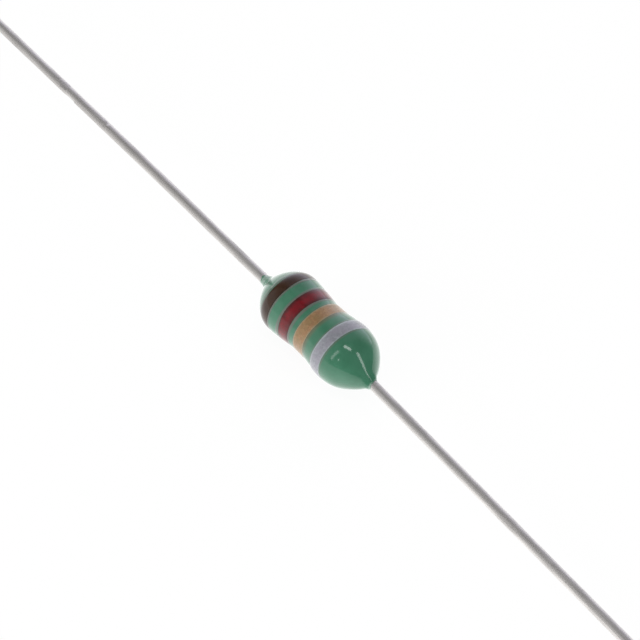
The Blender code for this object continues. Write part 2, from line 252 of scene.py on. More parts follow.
floor_material = bpy.data.materials.new("white_sheet")
floor_material.use_nodes = True
tree = floor_material.node_tree
tree.nodes.clear()
path = add(tree, "ShaderNodeLightPath").outputs
mirrored = math_of(tree, "ADD", path["Is Glossy Ray"], path["Is Transmission Ray"], clamp=True)
seen = math_of(tree, "ADD", path["Is Camera Ray"], mirrored, clamp=True)
share = mapped(tree, seen, 0, 1, OTHER_SHARE, WHITE_SHARE, smooth=False)
place = add(tree, "ShaderNodeTexCoord").outputs["Object"]
fading = MIRRORED
for side, start, end, share_left in SHEET_FADES:
    out = dot(tree, place, (math.cos(side) / MM, math.sin(side) / MM, 0.0))
    fading = math_of(tree, "MULTIPLY", mapped(tree, out, start, end, 1.0, share_left), fading)
glow = between(tree, mirrored, GLOW / OTHER_SHARE, fading)
glow = between(tree, path["Is Camera Ray"], glow, SEEN)
paint = add(tree, "ShaderNodeBsdfDiffuse", {"Color": SHEET_COLOUR}).outputs[0]
blank = add(tree, "ShaderNodeEmission", {"Color": (1, 1, 1, 1), "Strength": glow}).outputs[0]
both = add(tree, "ShaderNodeMixShader", {"Fac": share, 1: paint, 2: blank}).outputs[0]
add(tree, "ShaderNodeOutputMaterial", {"Surface": both})

corners = np.array([(-1, -1, 0), (1, -1, 0), (1, 1, 0), (-1, 1, 0)]) * FLOOR_HALF * MM
floor_mesh = bpy.data.meshes.new("floor")
floor_mesh.from_pydata(corners, [], [(0, 1, 2, 3)])
floor_mesh.materials.append(floor_material)
floor = bpy.data.objects.new("floor", floor_mesh)
scene.collection.objects.link(floor)
floor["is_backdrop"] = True
print(f"floor {2 * FLOOR_HALF / 1000:.0f} m wide at z = 0")

# %% [markdown]
# ## Light
#
# Glossy enamel shows its surroundings, so these matter as much as the lamps. Round the real one
# there is a white sweep behind, which is brightest at its foot and fades with height, a pale wall
# on the left, and a dim room behind the camera. The world gives reflections that picture. It gives
# the camera plain white, and everything else the same picture with less contrast. A large soft lamp
# adds a little direction and is kept out of reflections. Narrow strips of light make the thin
# glints on the enamel: where a glint lies on the cone tells which way its strip is.

# %% World
# For each thing round the part: the side where its middle is, half its width, and half of its full
# part, in degrees. Heights are the sine of the angle over the horizon. The rest is how bright it is.
SWEEP = 128, 62, 14
SWEEP_TOP, SWEEP_SIDE, SWEEP_LOW = 0.29, 0.92, 0.75
SWEEP_HEIGHTS = 0.36, 0.84  # where its side starts to fade and where its top is
LOW_TOP, LOW_POWER = 0.5, 1.5  # how high its brighter low part reaches, and how it falls off
SWEEP_TINT = (0.96, 0.95, 1.10)  # daylight
FOOT = 136, 56, 46  # where the sheet turns up
FOOT_LIGHT, FOOT_TOP = 2.5, 0.24  # how bright, and up to what height
WALL = 233, 38, 20
WALL_TOP, WALL_FOOT = 0.18, 0.44
WALL_HEIGHTS = 0.45, 0.75  # likewise for the wall
ROOM = 0.075  # everything else
SOFT_BASE, SOFT_SHARE = 0.25, 0.90  # how the picture is evened out for all other light

world = bpy.data.worlds.new("studio")
scene.world = world
world.use_nodes = True
tree = world.node_tree
tree.nodes.clear()
direction = add(tree, "ShaderNodeTexCoord").outputs["Generated"]
height = add(tree, "ShaderNodeSeparateXYZ", {0: direction}).outputs["Z"]
flat_way = stretched(tree, direction, (1, 1, 0))
level_way = add(tree, "ShaderNodeVectorMath", {0: flat_way}, operation="NORMALIZE").outputs[0]


def towards(*angles):
    """1 in directions near this azimuth, and 0 where they are more than half the width away."""
    azimuth, half_width, half_full = (math.radians(angle) for angle in angles)
    near = dot(tree, level_way, (math.cos(azimuth), math.sin(azimuth), 0.0))
    return mapped(tree, near, math.cos(half_width), math.cos(half_full))


low = mapped(tree, height, 0.0, LOW_TOP, 1.0, 0.0, smooth=False)
low = math_of(tree, "MULTIPLY", math_of(tree, "POWER", low, LOW_POWER), SWEEP_LOW)
sweep = math_of(tree, "ADD", mapped(tree, height, *SWEEP_HEIGHTS, SWEEP_SIDE, SWEEP_TOP), low)
foot = mapped(tree, height, 0.0, FOOT_TOP, FOOT_LIGHT, 0.0)
foot = math_of(tree, "MULTIPLY", towards(*FOOT), foot)
wall = mapped(tree, height, *WALL_HEIGHTS, WALL_FOOT, WALL_TOP)
picture = between(tree, towards(*WALL), ROOM, wall)
picture = math_of(tree, "MAXIMUM", picture, foot)
in_sweep = towards(*SWEEP)
picture = between(tree, in_sweep, picture, sweep)
evened = math_of(tree, "ADD", math_of(tree, "MULTIPLY", picture, SOFT_SHARE), SOFT_BASE)
path = add(tree, "ShaderNodeLightPath").outputs
mirrored = math_of(tree, "ADD", path["Is Glossy Ray"], path["Is Transmission Ray"], clamp=True)
level = between(tree, mirrored, evened, picture)
level = between(tree, path["Is Camera Ray"], level, 1.0)
tint = mixed(tree, math_of(tree, "MULTIPLY", in_sweep, mirrored), (1.0, 1.0, 1.0), SWEEP_TINT)
sky = add(tree, "ShaderNodeBackground", {"Color": tint, "Strength": level}).outputs[0]
add(tree, "ShaderNodeOutputWorld", {"Surface": sky})
print("world: sweep", SWEEP_SIDE, "to", SWEEP_TOP, "wall", WALL_FOOT, "to", WALL_TOP, "room", ROOM)


# %% Lamps
LAMP_DISTANCE = 600.0  # in millimetres


def strip(name, one_end, other_end, width, radiance, in_reflections=True):
    """A flat lamp that faces the part, laid between two directions from it, width in millimetres.

    Its power is its radiance times its area times pi, so its brightness doesn't change with size.
    """
    ends = [Vector(end).normalized() * LAMP_DISTANCE for end in (one_end, other_end)]
    away = ((ends[0] + ends[1]) / 2).normalized()
    along = (ends[1] - ends[0]).normalized()
    across = along.cross(away).normalized()
    data = bpy.data.lights.new(name, "AREA")
    data.shape = "RECTANGLE"
    data.size, data.size_y = width * MM, (ends[1] - ends[0]).length * MM
    data.energy = radiance * math.pi * data.size * data.size_y
    obj = bpy.data.objects.new(name, data)
    obj.matrix_world = Matrix((across, away.cross(across), away)).transposed().to_4x4()
    obj.location = away * LAMP_DISTANCE * MM + Vector((0, 0, AXIS_HEIGHT * MM))
    obj.visible_camera = False
    obj.visible_glossy = in_reflections
    scene.collection.objects.link(obj)
    print(f"{name}: {data.energy:.4f} W, {width:.0f} by {data.size_y / MM:.0f} mm")


strip("soft_box", (-0.55, -0.95, 0.20), (0.35, -0.95, 0.20), 360, 2.15, in_reflections=False)
strip("glint_top", (0.10, -0.21, 0.97), (0.42, -0.02, 0.91), 92, 4.4)
strip("glint_near", (0.59, 0.20, 0.78), (0.93, 0.19, 0.32), 92, 3.4)
strip("glint_side", (0.09, -0.57, 0.81), (0.0, -0.96, 0.28), 75, 2.0)
strip("glint_low", (0.29, -0.83, 0.49), (0.33, -0.81, 0.47), 66, 3.4)

# %% [markdown]
# ## Patterns that finishes share
#
# Each of these five effects is a group that is made once, and most of them serve several finishes.
#
# * A dipped coat never dries quite even: it has slow waves and a fine orange peel.
# * Wire is pulled through a die, which leaves long fine lines, and tin dulls in patches.
# * Metallic paint is full of tiny leaves that lie at slightly different angles.
# * Ground or cast stuff such as ferrite, solder and adhesive has a grain with pits.
# * Along a painted ring's rim the colour changes: darker on brown and red, and paler on gold and
#   silver, where it is a painted highlight of the rounded edge.

# %% Group: the waves of a dipped coat
def make_dip_waves():
    """Height is slow noise, plus a tenth of noise three times finer, plus a little orange peel."""
    tree, given, result = new_group("dip_waves", {"Waves per mm": 0.5, "Orange peel": 0.03}, ["Height"])
    place = millimetres(tree)
    slow = noise(tree, place, given[0], 1.0)
    ripple = noise(tree, place, math_of(tree, "MULTIPLY", given[0], 3.1), 1.0)
    peel = noise(tree, place, 6.0, 2.0)
    height = math_of(tree, "MULTIPLY_ADD", ripple, 0.1)
    tree.links.new(slow, height.node.inputs[2])
    fine = math_of(tree, "MULTIPLY", peel, given[1])
    tree.links.new(math_of(tree, "ADD", height, fine), result["Height"])
    return tree


dip_waves = make_dip_waves()


# %% Group: drawn wire
def make_drawn_lines():
    """Lines are noise drawn out along X, the way the wire was pulled. Dull is slow patches."""
    tree, given, result = new_group("drawn_lines", {"Lines per mm": 14.0}, ["Lines", "Dull"])
    place = millimetres(tree)
    lines = noise(tree, stretched(tree, place, (0.03, 1.0, 1.0)), given[0], 3.0)
    patches = noise(tree, stretched(tree, place, (0.35, 1.0, 1.0)), 1.3, 4.0)
    tree.links.new(lines, result["Lines"])
    tree.links.new(mapped(tree, patches, 0.42, 0.68), result["Dull"])
    return tree


drawn_lines = make_drawn_lines()


# %% Group: metal leaves in paint
def make_metal_leaves():
    """Each leaf is a Voronoi cell with one random tone. Two sizes of leaf are laid over each other."""
    tree, given, result = new_group("metal_leaves", {"Leaves per mm": 11.0}, ["Tone"])
    place = millimetres(tree)
    tones = []
    for times in (1.0, 2.3):
        scale = math_of(tree, "MULTIPLY", given[0], times)
        cells = add(tree, "ShaderNodeTexVoronoi", {"Vector": place, "Scale": scale})
        tones.append(add(tree, "ShaderNodeSeparateColor", {0: cells.outputs["Color"]}).outputs[0])
    tree.links.new(math_of(tree, "MULTIPLY", math_of(tree, "ADD", *tones), 0.5), result["Tone"])
    return tree


metal_leaves = make_metal_leaves()


# %% Group: grain and pits
def make_grain():
    """Grain is fine noise. Pits are small round dots, where a Voronoi cell's centre is near."""
    tree, given, result = new_group("grain", {"Grains per mm": 12.0, "Pit size": 0.16}, ["Grain", "Pits"])
    place = millimetres(tree)
    coarse = math_of(tree, "MULTIPLY", given[0], 0.4)
    near = add(tree, "ShaderNodeTexVoronoi", {"Vector": place, "Scale": coarse}).outputs["Distance"]
    tree.links.new(noise(tree, place, given[0], 4.0), result["Grain"])
    tree.links.new(math_of(tree, "LESS_THAN", near, given[1]), result["Pits"])
    return tree


grain = make_grain()


# %% Group: the rim of a painted ring
def make_paint_rim():
    """Rim is 1 at the paint's edge and 0 inside. It reads how far in a point is, in millimetres,
    from the ring's own "inward" attribute, and a little noise makes the line uneven."""
    tree, given, result = new_group("paint_rim", {"Rim width": 0.07}, ["Rim"])
    waver = noise(tree, millimetres(tree), 3.5, 2.0)
    width = math_of(tree, "MULTIPLY", given[0], mapped(tree, waver, 0.3, 0.7, 0.6, 1.4))
    past = math_of(tree, "DIVIDE", attribute(tree, "inward"), width)
    rim = math_of(tree, "SUBTRACT", 1.0, past, clamp=True)
    tree.links.new(rim, result["Rim"])
    return tree


paint_rim = make_paint_rim()


# %% [markdown]
# ## Finishes
#
# A finish is a Principled shader with the record's name for it. What changes over the surface is
# linked from the groups. What is the same all over is a number on the shader's own socket.

# %% Helper for finishes
def new_finish(name, **numbers):
    """A material with one Principled shader. Numbers are set on its sockets, _ stands for a space."""
    finish = bpy.data.materials.new(name)
    print("finish", name)
    finish.use_nodes = True
    shader = finish.node_tree.nodes["Principled BSDF"]
    for label, value in numbers.items():
        shader.inputs[label.replace("_", " ")].default_value = value
    return finish, finish.node_tree, shader.inputs


def use(tree, group, **numbers):
    """Places a group in a material with its own values, and returns its outputs."""
    node = add(tree, "ShaderNodeGroup", node_tree=group)
    for label, value in numbers.items():
        node.inputs[label.replace("_", " ")].default_value = value
    return node.outputs


def bump(tree, height, distance, under=None):
    """A Bump node's normal: distance is how high a height of 1 stands, in millimetres."""
    inputs = {"Height": height, "Distance": distance * MM, "Strength": 1.0}
    if under is not None:
        inputs["Normal"] = under
    return add(tree, "ShaderNodeBump", inputs).outputs[0]


# %% [markdown]
# ### Green epoxy
#
# The coat is thick glossy enamel. Its colour shifts slightly where it is thicker or thinner, and
# some edges of paint have a pale hair line on the green beside them, which is a painted highlight of
# the paint's edge over a small ridge. A little gold dust lies past the gold ring. Where the coat runs
# out along the leads it is a thin film, painted pale: partly its own colour, and partly a painted
# reflection of the white sheet with painted highlights on its lower side. These three read the
# coat's own attributes.

# %% Finish: epoxy coat
GREENS = (0.052, 0.195, 0.114), (0.068, 0.230, 0.140)
# The first colour is a painted highlight along the paint's edges.
# The last colour is partly the thin film's own colour and partly a painted reflection of the sheet.
HAIR_LINE_HIGHLIGHT, DUST_COLOUR, FILM_AND_REFLECTION_COLOUR = (0.150, 0.176, 0.148), (0.175, 0.135, 0.080), (0.34, 0.46, 0.39)
COAT_WAVES, WAVE_RELIEF = 0.55, 0.02  # waves in a millimetre, and how high they stand, paint's too


def make_epoxy():
    """Green that drifts between two tones, with three masks laid over it, and slow waves."""
    finish, tree, shader = new_finish(
        "epoxy_coat", Roughness=0.12, IOR=1.5, Coat_Weight=0.4, Coat_Roughness=0.05, Coat_IOR=1.5
    )
    waves = use(tree, dip_waves, Waves_per_mm=COAT_WAVES, Orange_peel=0.006)["Height"]
    tone = noise(tree, millimetres(tree), 0.8, 3.0)
    green = mixed(tree, mapped(tree, tone, 0.3, 0.7), *GREENS)
    beside = attribute(tree, "beside_paint")
    # A pale hair line beside the paint: a painted highlight of its edge.
    green = mixed(tree, beside, green, HAIR_LINE_HIGHLIGHT)
    green = mixed(tree, attribute(tree, "gold_dust"), green, DUST_COLOUR)
    # Pale thin film at the coat's ends, in uneven specks: partly its own colour, partly painted reflection
    # and highlights.
    specks = noise(tree, millimetres(tree), 7.0, 2.0)
    uneven = mapped(tree, specks, 0.35, 0.65, 0.55, 1.0)
    thin = math_of(tree, "MULTIPLY", attribute(tree, "thin"), uneven)
    green = mixed(tree, thin, green, FILM_AND_REFLECTION_COLOUR)
    tree.links.new(green, shader["Base Color"])
    wavy = bump(tree, waves, WAVE_RELIEF)
    tree.links.new(bump(tree, beside, 0.014, under=wavy), shader["Normal"])
    return finish


finishes = {"epoxy_coat": make_epoxy()}


# %% [markdown]
# ### Band paints
#
# Brown and red are plain gloss paints, darker along the rim. Gold and silver hold metal leaves,
# which make them speckled, and their rims are painted pale: a painted highlight of the paint's edge.

# %% Finishes: band paints
def make_plain_paint(name, colour, rim_colour, rim_width):
    """Glossy paint: its tone drifts a little, and it is darker along the rim."""
    finish, tree, shader = new_finish(name, Roughness=0.16, IOR=1.5, Coat_Weight=0.3, Coat_Roughness=0.06)
    tone = noise(tree, millimetres(tree), 1.6, 4.0)
    lighter = tuple(1.35 * part for part in colour)
    base = mixed(tree, mapped(tree, tone, 0.3, 0.75), colour, lighter)
    rim = use(tree, paint_rim, Rim_width=rim_width)["Rim"]
    base = mixed(tree, math_of(tree, "MULTIPLY", rim, 0.85), base, rim_colour)
    tree.links.new(base, shader["Base Color"])
    waves = use(tree, dip_waves, Waves_per_mm=COAT_WAVES, Orange_peel=0.05)["Height"]
    tree.links.new(bump(tree, waves, WAVE_RELIEF), shader["Normal"])
    return finish


def make_metal_paint(name, colour, light_leaf, cloud, rim_colour, rim_width, metallic):
    """Paint full of metal leaves: each leaf has its own tone, slow clouds of another tone lie over
    them, and the rim is painted pale, a painted highlight of the paint's rounded edge."""
    finish, tree, shader = new_finish(
        name, Roughness=0.38, Metallic=metallic, IOR=1.5, Coat_Weight=0.5, Coat_Roughness=0.10
    )
    leaf = use(tree, metal_leaves, Leaves_per_mm=9.0)["Tone"]
    base = mixed(tree, mapped(tree, leaf, 0.15, 0.85), colour, light_leaf)
    clouds = noise(tree, millimetres(tree), 2.4, 2.0)
    base = mixed(tree, mapped(tree, clouds, 0.40, 0.62, 0.0, 0.6), base, cloud)
    # A pale rim on metal paint: a painted highlight of the paint's rounded edge.
    rim = use(tree, paint_rim, Rim_width=rim_width)["Rim"]
    base = mixed(tree, math_of(tree, "MULTIPLY", rim, 0.8), base, rim_colour)
    tree.links.new(base, shader["Base Color"])
    waves = use(tree, dip_waves, Waves_per_mm=COAT_WAVES, Orange_peel=0.05)["Height"]
    smooth = bump(tree, waves, WAVE_RELIEF)
    tree.links.new(bump(tree, leaf, 0.006, under=smooth), shader["Normal"])
    return finish


# For each plain paint: its colour, its rim's colour, and how wide the rim is in millimetres.
PLAIN_PAINTS = {
    "paint_brown": ((0.042, 0.019, 0.010), (0.016, 0.014, 0.006), 0.12),
    "paint_red": ((0.162, 0.006, 0.011), (0.038, 0.014, 0.013), 0.32),
}
# For each metal paint: its colour, that of its lighter leaves, its clouds and its rim, which is a
# painted highlight, how wide the rim is in millimetres, and how metallic the paint is.
METAL_PAINTS = {
    "paint_gold": (
        (0.325, 0.172, 0.078), (0.44, 0.26, 0.125), (0.295, 0.200, 0.085), (0.38, 0.36, 0.245), 0.14, 0.12
    ),
    "paint_silver": (
        (0.262, 0.268, 0.305), (0.37, 0.378, 0.42), (0.335, 0.315, 0.375), (0.48, 0.57, 0.58), 0.12, 0.08
    ),
}
for name, look in PLAIN_PAINTS.items():
    finishes[name] = make_plain_paint(name, *look)
for name, look in METAL_PAINTS.items():
    finishes[name] = make_metal_paint(name, *look)


# %% [markdown]
# ### Tinned copper, solder, enamelled wire, ferrite and adhesive
#
# The leads are tin with drawn lines and dull patches. Old tin is partly a dull skin, so it isn't
# wholly metallic. The other four are inside the coat: nobody sees them in the picture, but the model
# holds them, and each still has its own finish.

# %% Finishes: metals and the stuff inside
def make_tinned_copper():
    """Tin whose dull patches are darker and rougher, and whose drawn lines are lighter."""
    finish, tree, shader = new_finish("tinned_copper", Metallic=0.70)
    wire = use(tree, drawn_lines, Lines_per_mm=14.0)
    base = mixed(tree, wire["Dull"], (0.65, 0.625, 0.605), (0.56, 0.54, 0.525))
    streak = mapped(tree, wire["Lines"], 0.35, 0.65)
    base = mixed(tree, streak, base, (0.70, 0.675, 0.655))
    tree.links.new(base, shader["Base Color"])
    tree.links.new(mapped(tree, wire["Dull"], 0, 1, 0.40, 0.52, smooth=False), shader["Roughness"])
    tree.links.new(bump(tree, wire["Lines"], 0.006), shader["Normal"])
    return finish


def make_grainy(name, dark, light, grains, pit_size, roughness, relief, metallic):
    """A grainy finish with pits: two tones mixed by the grain, and pits that are lower and painted darker as
    shade.
    """
    finish, tree, shader = new_finish(name, Metallic=metallic)
    made = use(tree, grain, Grains_per_mm=grains, Pit_size=pit_size)
    base = mixed(tree, mapped(tree, made["Grain"], 0.35, 0.65), dark, light)
    pit_shade = tuple(0.4 * part for part in dark)
    # Pits are painted darker: painted shade in the hollows.
    base = mixed(tree, math_of(tree, "MULTIPLY", made["Pits"], 0.6), base, pit_shade)
    tree.links.new(base, shader["Base Color"])
    rough = mapped(tree, made["Grain"], 0.3, 0.7, roughness - 0.06, roughness + 0.06)
    tree.links.new(rough, shader["Roughness"])
    height = math_of(tree, "SUBTRACT", made["Grain"], made["Pits"])
    tree.links.new(bump(tree, height, relief), shader["Normal"])
    return finish


def make_enamelled_copper():
    """Copper of two tones under clear enamel."""
    finish, tree, shader = new_finish(
        "enamelled_copper", Metallic=0.85, Roughness=0.28, Coat_Weight=1.0, Coat_Roughness=0.08
    )
    tone = use(tree, grain, Grains_per_mm=2.5, Pit_size=0.0)["Grain"]
    base = mixed(tree, mapped(tree, tone, 0.35, 0.65), (0.36, 0.10, 0.032), (0.50, 0.17, 0.06))
    tree.links.new(base, shader["Base Color"])
    tree.links.new(bump(tree, tone, 0.004), shader["Normal"])
    return finish


finishes["tinned_copper"] = make_tinned_copper()
finishes["enamelled_copper"] = make_enamelled_copper()
# For each grainy finish: its two tones, grains in a millimetre, size of its pits, roughness, relief
# in millimetres, and how metallic it is.
GRAINY = {
    "ferrite": ((0.022, 0.022, 0.024), (0.040, 0.039, 0.040), 14.0, 0.14, 0.55, 0.010, 0.0),
    "solder": ((0.36, 0.36, 0.37), (0.50, 0.50, 0.51), 5.0, 0.06, 0.34, 0.012, 1.0),
    "cement": ((0.44, 0.36, 0.21), (0.56, 0.48, 0.31), 7.0, 0.10, 0.50, 0.006, 0.0),
}
for name, look in GRAINY.items():
    finishes[name] = make_grainy(name, *look)

# %% [markdown]
# ## Surfaces from grids
#
# Every new piece is a grid of points, worked out as one array. Rows run along +X and columns turn
# from +Y to +Z, and the columns always close into a ring. A shell, such as the coat, also joins its
# last row to its first. A solid wire closes each end with one flat face instead. Each new piece rides
# on the part, takes the place of its CAD node, and names its finish.

# %% Helper: a mesh from a grid
SHARP_OVER = math.radians(50)  # where two faces meet at more than this, their edge stays sharp


def surface(name, points, node, slot, shell=False, attributes=None):
    """A closed mesh from points[row, column] in millimetres, which stands for a CAD node.

    Point (i, j) shares a face with (i, j + 1), (i + 1, j + 1) and (i + 1, j), in that order, which
    faces outwards. A shell's last row meets its first; any other surface has a face on each end.
    """
    rows, columns = points.shape[:2]
    index = np.arange(rows * columns).reshape(rows, columns)
    index = np.hstack([index, index[:, :1]])
    ends = [] if shell else [index[0, :-1][::-1].tolist(), index[-1, :-1].tolist()]
    if shell:
        index = np.vstack([index, index[:1]])
    quads = np.stack([index[:-1, :-1], index[:-1, 1:], index[1:, 1:], index[1:, :-1]], axis=-1)
    mesh = bpy.data.meshes.new(name)
    mesh.from_pydata((points * MM).reshape(-1, 3), [], quads.reshape(-1, 4).tolist() + ends)
    for label, values in (attributes or {}).items():
        held = mesh.attributes.new(label, "FLOAT", "POINT")
        held.data.foreach_set("value", values.astype(np.float32).ravel())
    mesh.materials.append(finishes[slot])
    mesh.shade_smooth()
    mesh.set_sharp_from_angle(angle=SHARP_OVER)
    obj = bpy.data.objects.new(name, mesh)
    scene.collection.objects.link(obj)
    triangles = sum(len(face.vertices) - 2 for face in mesh.polygons)
    print(f"{name}: {rows} by {columns} points, {triangles} triangles")
    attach(obj, "root")
    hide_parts(node)


# %% [markdown]
# ## The leads
#
# Each lead is a round wire carried along its own route. The far lead is straight, but for a very
# slight bend where it leaves the coat. The near one leaves the core straight and is then bent
# aside, which the photograph shows as its slight slope. A tool has held the far lead: it left one
# scooped flat, a pinch across the wire and a light scratch. Both ends were cut square, so their
# rims are only slightly rounded.

# %% The route of the near lead
ASIDE_Y, ASIDE_Z = -0.107, -0.160  # how far the near lead is drawn off the axis
SLOPE_Y, SLOPE_Z = -0.003, -0.048  # how it goes on from there, for each millimetre along X
LEAD_ASIDE = CORE_END + 0.15, 2.35  # where it starts and over what length
COAT_ASIDE = CORE_END + 0.95, 1.75  # the coat's outside keeps to the core's axis for longer


def aside(x, start, length):
    """The near lead's offset from the axis: a smooth step, which then runs on at its slope.

    The step is 3 t squared less 2 t cubed. The slope comes in as t cubed less t squared, which is
    flat where the step starts and has the full slope where it ends.
    """
    t = np.clip((x - start) / length, 0.0, 1.0)
    ease = t * t * (3 - 2 * t)
    along = length * (t**3 - t**2) + np.maximum(x - start - length, 0.0)
    y, z = ASIDE_Y * ease + SLOPE_Y * along, ASIDE_Z * ease + SLOPE_Z * along
    return np.stack([np.zeros_like(x), y, z], axis=-1)


print("near lead's end is", np.round(aside(-wire_low[0], *LEAD_ASIDE), 3), "mm off the axis")


# %% Helper: a wire along a route
def carried(route, radius, angles):
    """Rings of points round a route, square to it. Radius is rows by columns, in millimetres.

    At each point of the route, one arm of the ring is level and the other is square to both that
    arm and the route: point = route + radius times (cos angle, level arm + sin angle, other arm).
    """
    way = np.gradient(route, axis=0)
    way /= np.linalg.norm(way, axis=1, keepdims=True)
    level = np.cross((0.0, 0.0, 1.0), way)
    level /= np.linalg.norm(level, axis=1, keepdims=True)
    other = np.cross(way, level)
    arms = np.cos(angles)[None, :, None] * level[:, None] + np.sin(angles)[None, :, None] * other[:, None]
    return route[:, None] + radius[..., None] * arms


LEAD_COLUMNS = 48
LEAD_ROW = 0.2  # how far apart a wire's rings of points are
MARK_ROW = 0.035  # and how far near a tool mark
END_ROUNDING = 0.03
lead_angles = np.linspace(0, 2 * math.pi, LEAD_COLUMNS, endpoint=False)


def end_rounding(x, start, end):
    """How much the radius falls close to a wire's two cut ends: a quarter circle."""
    near = np.minimum(np.minimum(x - start, end - x), END_ROUNDING)
    return END_ROUNDING - np.sqrt(np.maximum(END_ROUNDING**2 - (END_ROUNDING - near) ** 2, 0.0))


def wire_rows(start, end, extra=()):
    """Places of the rows along a wire: close together at its rounded ends."""
    corner = END_ROUNDING * (1 - np.cos(np.linspace(0, math.pi / 2, 5)))
    middle = np.arange(start + LEAD_ROW / 2, end - LEAD_ROW / 2, LEAD_ROW)
    return np.unique(np.concatenate([start + corner, middle, extra, end - corner]))


def along_axis(x):
    """The points of the part's axis at these places."""
    return np.stack([x, 0 * x, 0 * x + AXIS_HEIGHT], axis=-1)


# %% The far lead, with its tool marks
FLAT_AT, FLAT_LENGTH, FLAT_DEPTH, FLAT_ANGLE = -25.7, 1.25, 0.075, math.radians(196)
FLAT_FADE, FLAT_STEP = 0.55, 0.10  # the shares of its length in which it deepens and in which it ends
# The two grooves: where each is, how wide and how deep, and on which side.
PINCH = -21.9, 0.16, 0.055, math.radians(98)
SCRATCH = -27.1, 0.09, 0.022, math.radians(118)


def tool_marks(x, angles):
    """How deep the marks are at each row and column.

    The flat is a plane cut across the wire, R - (R - depth) / cos(angle), which ends in a steep
    step on one side and fades out on the other. The pinch and the scratch are narrow grooves.
    """
    along = (x[:, None] - FLAT_AT) / FLAT_LENGTH + 0.5
    t = np.clip(along / FLAT_FADE, 0, 1)
    fade = t**2 * (3 - 2 * t)
    step = np.clip((1 - along) / FLAT_STEP, 0, 1)
    turn = np.cos(angles[None, :] - FLAT_ANGLE)
    plane = LEAD_RADIUS - (LEAD_RADIUS - FLAT_DEPTH) / np.maximum(turn, 0.2)
    depth = np.maximum(plane, 0.0) * fade * step
    for place, width, deep, angle in (PINCH, SCRATCH):
        across = np.exp(-(((x[:, None] - place) / width) ** 2))
        around = np.maximum(np.cos(angles[None, :] - angle), 0.0) ** 1.5
        depth = depth + deep * across * around
    return depth


COLLAR_FADE = 0.55  # what is uneven at the coat's ends fades into the coat over about this much
FAR_BEND, FAR_BEND_ANGLE = 0.07, math.radians(208)  # the far lead is a little bent at the coat
FAR_BEND_FADE = 7.0  # how slowly that fades along the lead


def far_bend(x, amount=FAR_BEND):
    """How far the far lead lies aside at x: a bell curve, narrow in the coat and wide outside."""
    past = x - coat_low[0]
    share = np.exp(-((past / np.where(past > 0, COLLAR_FADE, FAR_BEND_FADE)) ** 2))
    side = np.array([0.0, math.cos(FAR_BEND_ANGLE), math.sin(FAR_BEND_ANGLE)])
    return amount * share[..., None] * side


far_start, far_end = wire_low[0], wire_high[0]
marked = [np.arange(at - 1.0, at + 1.0, MARK_ROW) for at in (FLAT_AT, PINCH[0], SCRATCH[0])]
far_x = wire_rows(far_start, far_end, np.concatenate(marked))
far_route = along_axis(far_x) + far_bend(far_x)
far_radius = LEAD_RADIUS - end_rounding(far_x, far_start, far_end)[:, None]
far_radius = far_radius - tool_marks(far_x, lead_angles)
surface("far_lead", carried(far_route, far_radius, lead_angles), "lead_wire_a", "tinned_copper")

# %% The near lead
near_start, near_end = -far_end, -far_start
near_x = wire_rows(near_start, near_end)
near_route = along_axis(near_x) + aside(near_x, *LEAD_ASIDE)
near_radius = LEAD_RADIUS - end_rounding(near_x, near_start, near_end)[:, None] + 0 * lead_angles[None, :]
surface("near_lead", carried(near_route, near_radius, lead_angles), "lead_wire_b", "tinned_copper")

# %% [markdown]
# ## The green coat
#
# The coat swells over the two flanges of the core, sinks to a waist between them, and runs out in a
# short dome at one end and a long cone at the other. It creeps a little way along each lead and
# stops in a thin uneven collar. It is one shell: the outside runs from collar to collar, and the
# inside comes back along the leads, over the solder, the flanges and the winding, just as the CAD
# coat does.

# %% The coat's curve
def coat_radius(x):
    """The coat's outside radius: a power of a sine between the bulges, and past each bulge the
    cosine of a quarter turn, blended by a high power mean into the collar, which tapers."""
    end = np.where(x > WAIST_OFFSET, BULGE_X, -BULGE_X)
    share = np.clip((x - WAIST_OFFSET) / (end - WAIST_OFFSET), 0.0, 1.0)
    middle = WAIST_RADIUS + (BULGE_RADIUS - WAIST_RADIUS) * np.sin(math.pi / 2 * share) ** WAIST_POWER
    length, power = np.where(x > 0, CONE_LENGTH, DOME_LENGTH), np.where(x > 0, CONE_POWER, DOME_POWER)
    past = np.clip((np.abs(x) - BULGE_X) / (CORE_END - BULGE_X + length), 0.0, 1.0)
    fall = BULGE_RADIUS * np.cos(math.pi / 2 * past**power).clip(0.0)
    cone_collar = CONE_COLLAR + CONE_COLLAR_TAPER * (coat_high[0] - x).clip(0.0)
    dome_collar = DOME_COLLAR + DOME_COLLAR_TAPER * (x - coat_low[0]).clip(0.0)
    collar = np.where(x > 0, cone_collar, dome_collar) * (COLLAR_GROWTH * past).clip(0.0, 1.0)
    outer = (fall**COLLAR_BLEND + collar**COLLAR_BLEND) ** (1 / COLLAR_BLEND)
    return np.where(np.abs(x) <= BULGE_X, middle, outer)


for x in (-5.0, -BULGE_X, WAIST_OFFSET, BULGE_X, 4.5):
    print(f"coat at {x:5.2f} mm: {2 * float(coat_radius(np.array(x))):.2f} mm across")

# %% Unevenness of a dipped surface
COAT_COLUMNS = 144
coat_angles = np.linspace(0, 2 * math.pi, COAT_COLUMNS, endpoint=False)


def drift(x, angles, seed, turns=(1, 2, 3), waves=(0.35, 0.6, 0.9)):
    """A smooth random field over length and angle, mostly between -1 and 1: a sum of cosines with
    seeded phases, each with a whole number of turns round the part, so that it closes."""
    rng = np.random.default_rng(seed)
    field = 0.0
    for turn in turns:
        for wave in waves:
            phase, lean = rng.uniform(0, 2 * math.pi, 2)
            field = field + np.cos(turn * angles + 2 * math.pi * wave * x + phase) * np.cos(lean)
    return field / (len(turns) * len(waves)) ** 0.5 / 1.2


